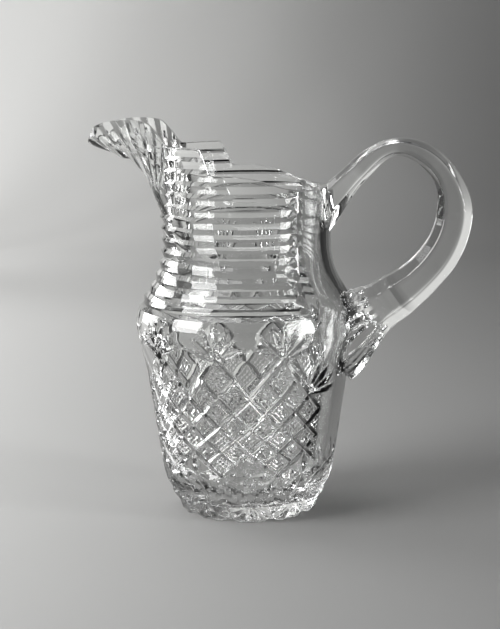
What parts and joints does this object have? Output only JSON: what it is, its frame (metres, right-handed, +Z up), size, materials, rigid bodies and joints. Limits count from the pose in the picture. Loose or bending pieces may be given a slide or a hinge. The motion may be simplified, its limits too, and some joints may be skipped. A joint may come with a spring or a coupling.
{
  "type": "water jug",
  "caption": "Clear cut glass water jug with a stepped rim, a pouring lip, a drawn bar handle, level prism cuts on the neck and cut diamonds round the belly.",
  "frame": {"origin": "centre of the foot, on the surface that the jug stands on", "axes": "+Z up, +X towards the handle, -X towards the pouring lip"},
  "size_m": [0.2076, 0.1208, 0.214],
  "materials": {
    "cut_glass": "polished, deeply cut",
    "drawn_glass": "fire polished"
  },
  "bodies": {
    "root": {"jug_body": "cut_glass", "handle": "drawn_glass"}
  },
  "joints": []
}
